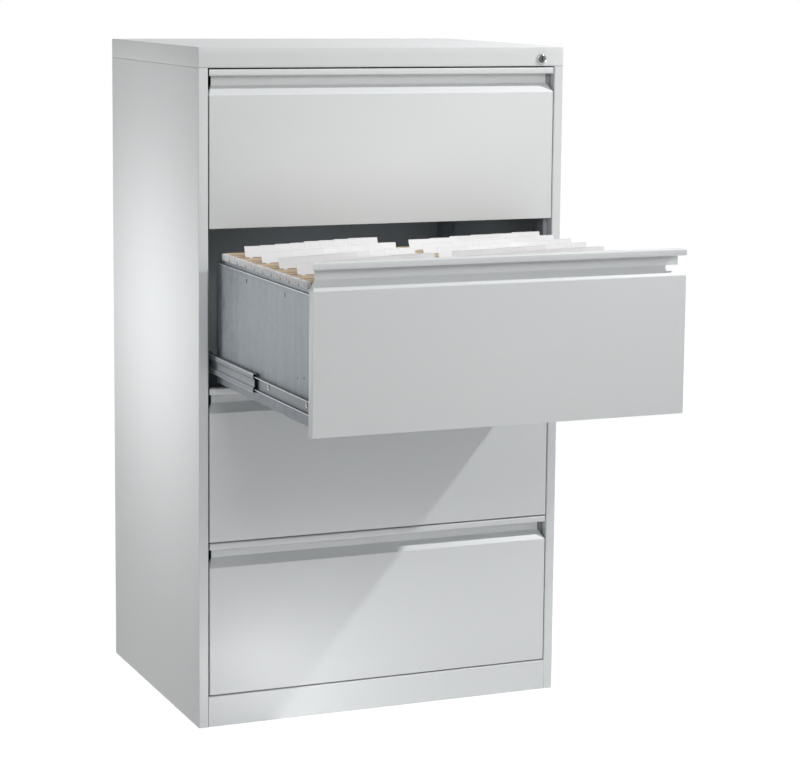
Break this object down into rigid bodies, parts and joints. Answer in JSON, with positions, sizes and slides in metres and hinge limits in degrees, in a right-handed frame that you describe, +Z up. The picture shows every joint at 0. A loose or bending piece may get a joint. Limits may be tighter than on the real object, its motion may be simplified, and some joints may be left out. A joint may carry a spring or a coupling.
{
  "type": "hanging file cabinet",
  "caption": "Free-standing steel cabinet whose full-extension drawers hold hanging folders side by side, with rolled grip edges and one lock for all drawers.",
  "frame": {"origin": "on the floor, at the centre of the carcass's footprint, in the underside of the base tray", "axes": "+Z up; +X to the right of someone who faces the drawer fronts; the drawers open towards -Y"},
  "size_m": [0.787, 1.157, 1.357],
  "materials": {
    "grey_paint": "smooth light grey powder coat, semi-matt",
    "inner_grey_paint": "dark grey coat inside the carcass",
    "galvanised_sheet": "bare zinc-coated sheet, cloudy",
    "zinc_runner": "bright zinc-plated runner",
    "nickel_lock": "polished nickel",
    "lock_steel": "zinc-plated",
    "guide_plastic": "black moulded plastic",
    "buff_card": "buff card",
    "white_plastic": "white moulded plastic"
  },
  "bodies": {
    "cabinet": {"side_panel_left": "grey_paint", "side_panel_right": "grey_paint", "top_cover": "grey_paint", "base_tray": "grey_paint", "rear_panel": "grey_paint", "upright_front_left": "inner_grey_paint", "upright_front_right": "inner_grey_paint", "upright_rear_left": "inner_grey_paint", "upright_rear_right": "inner_grey_paint", "lock_housing": "nickel_lock", "lock_bar_guides": "guide_plastic", "runner_outer_1": "zinc_runner", "runner_outer_2": "zinc_runner", "runner_outer_3": "zinc_runner", "runner_outer_4": "zinc_runner"},
    "lock_plug": {"lock_core": "nickel_lock", "lock_cam": "lock_steel"},
    "locking_bar": {"lock_bar": "lock_steel"},
    "drawer_1": {"drawer_1_front": "grey_paint", "drawer_1_inner_front": "galvanised_sheet", "drawer_1_side_left": "galvanised_sheet", "drawer_1_side_right": "galvanised_sheet", "drawer_1_back": "galvanised_sheet", "drawer_1_floor": "galvanised_sheet", "drawer_1_centre_rail": "galvanised_sheet", "runner_inner_1": "zinc_runner"},
    "runner_1": {"runner_middle_1": "zinc_runner"},
    "drawer_2": {"drawer_2_front": "grey_paint", "drawer_2_inner_front": "galvanised_sheet", "drawer_2_side_left": "galvanised_sheet", "drawer_2_side_right": "galvanised_sheet", "drawer_2_back": "galvanised_sheet", "drawer_2_floor": "galvanised_sheet", "drawer_2_centre_rail": "galvanised_sheet", "runner_inner_2": "zinc_runner", "folder_cards_left": "buff_card", "folder_cards_right": "buff_card", "folder_strips": "white_plastic", "folder_tabs": "white_plastic"},
    "runner_2": {"runner_middle_2": "zinc_runner"},
    "drawer_3": {"drawer_3_front": "grey_paint", "drawer_3_inner_front": "galvanised_sheet", "drawer_3_side_left": "galvanised_sheet", "drawer_3_side_right": "galvanised_sheet", "drawer_3_back": "galvanised_sheet", "drawer_3_floor": "galvanised_sheet", "drawer_3_centre_rail": "galvanised_sheet", "runner_inner_3": "zinc_runner"},
    "runner_3": {"runner_middle_3": "zinc_runner"},
    "drawer_4": {"drawer_4_front": "grey_paint", "drawer_4_inner_front": "galvanised_sheet", "drawer_4_side_left": "galvanised_sheet", "drawer_4_side_right": "galvanised_sheet", "drawer_4_back": "galvanised_sheet", "drawer_4_floor": "galvanised_sheet", "drawer_4_centre_rail": "galvanised_sheet", "runner_inner_4": "zinc_runner"},
    "runner_4": {"runner_middle_4": "zinc_runner"}
  },
  "joints": [
    {"name": "lock_turn", "type": "hinge", "parent": "cabinet", "child": "lock_plug", "pos_m": [0.3434, -0.295, 1.3316], "axis": [0, -1, 0], "range_deg": [0, 90]},
    {"name": "lock_bar_lift", "type": "slide", "parent": "cabinet", "child": "locking_bar", "axis": [0, 0, 1], "range_m": [0, 0.012]},
    {"name": "drawer_1_slide", "type": "slide", "parent": "cabinet", "child": "drawer_1", "axis": [0, -1, 0], "range_m": [0, 0.567]},
    {"name": "runner_1_slide", "type": "slide", "parent": "cabinet", "child": "runner_1", "axis": [0, -1, 0], "range_m": [0, 0.2835]},
    {"name": "drawer_2_slide", "type": "slide", "parent": "cabinet", "child": "drawer_2", "axis": [0, -1, 0], "range_m": [-0.567, 0]},
    {"name": "runner_2_slide", "type": "slide", "parent": "cabinet", "child": "runner_2", "axis": [0, -1, 0], "range_m": [-0.2835, 0]},
    {"name": "drawer_3_slide", "type": "slide", "parent": "cabinet", "child": "drawer_3", "axis": [0, -1, 0], "range_m": [0, 0.567]},
    {"name": "runner_3_slide", "type": "slide", "parent": "cabinet", "child": "runner_3", "axis": [0, -1, 0], "range_m": [0, 0.2835]},
    {"name": "drawer_4_slide", "type": "slide", "parent": "cabinet", "child": "drawer_4", "axis": [0, -1, 0], "range_m": [0, 0.567]},
    {"name": "runner_4_slide", "type": "slide", "parent": "cabinet", "child": "runner_4", "axis": [0, -1, 0], "range_m": [0, 0.2835]}
  ],
  "couplings": [
    {"joint": "lock_turn", "follows": "lock_bar_lift", "rad_per_m": 130.9},
    {"joint": "runner_1_slide", "follows": "drawer_1_slide", "ratio": 0.5},
    {"joint": "runner_2_slide", "follows": "drawer_2_slide", "ratio": 0.5},
    {"joint": "runner_3_slide", "follows": "drawer_3_slide", "ratio": 0.5},
    {"joint": "runner_4_slide", "follows": "drawer_4_slide", "ratio": 0.5}
  ]
}
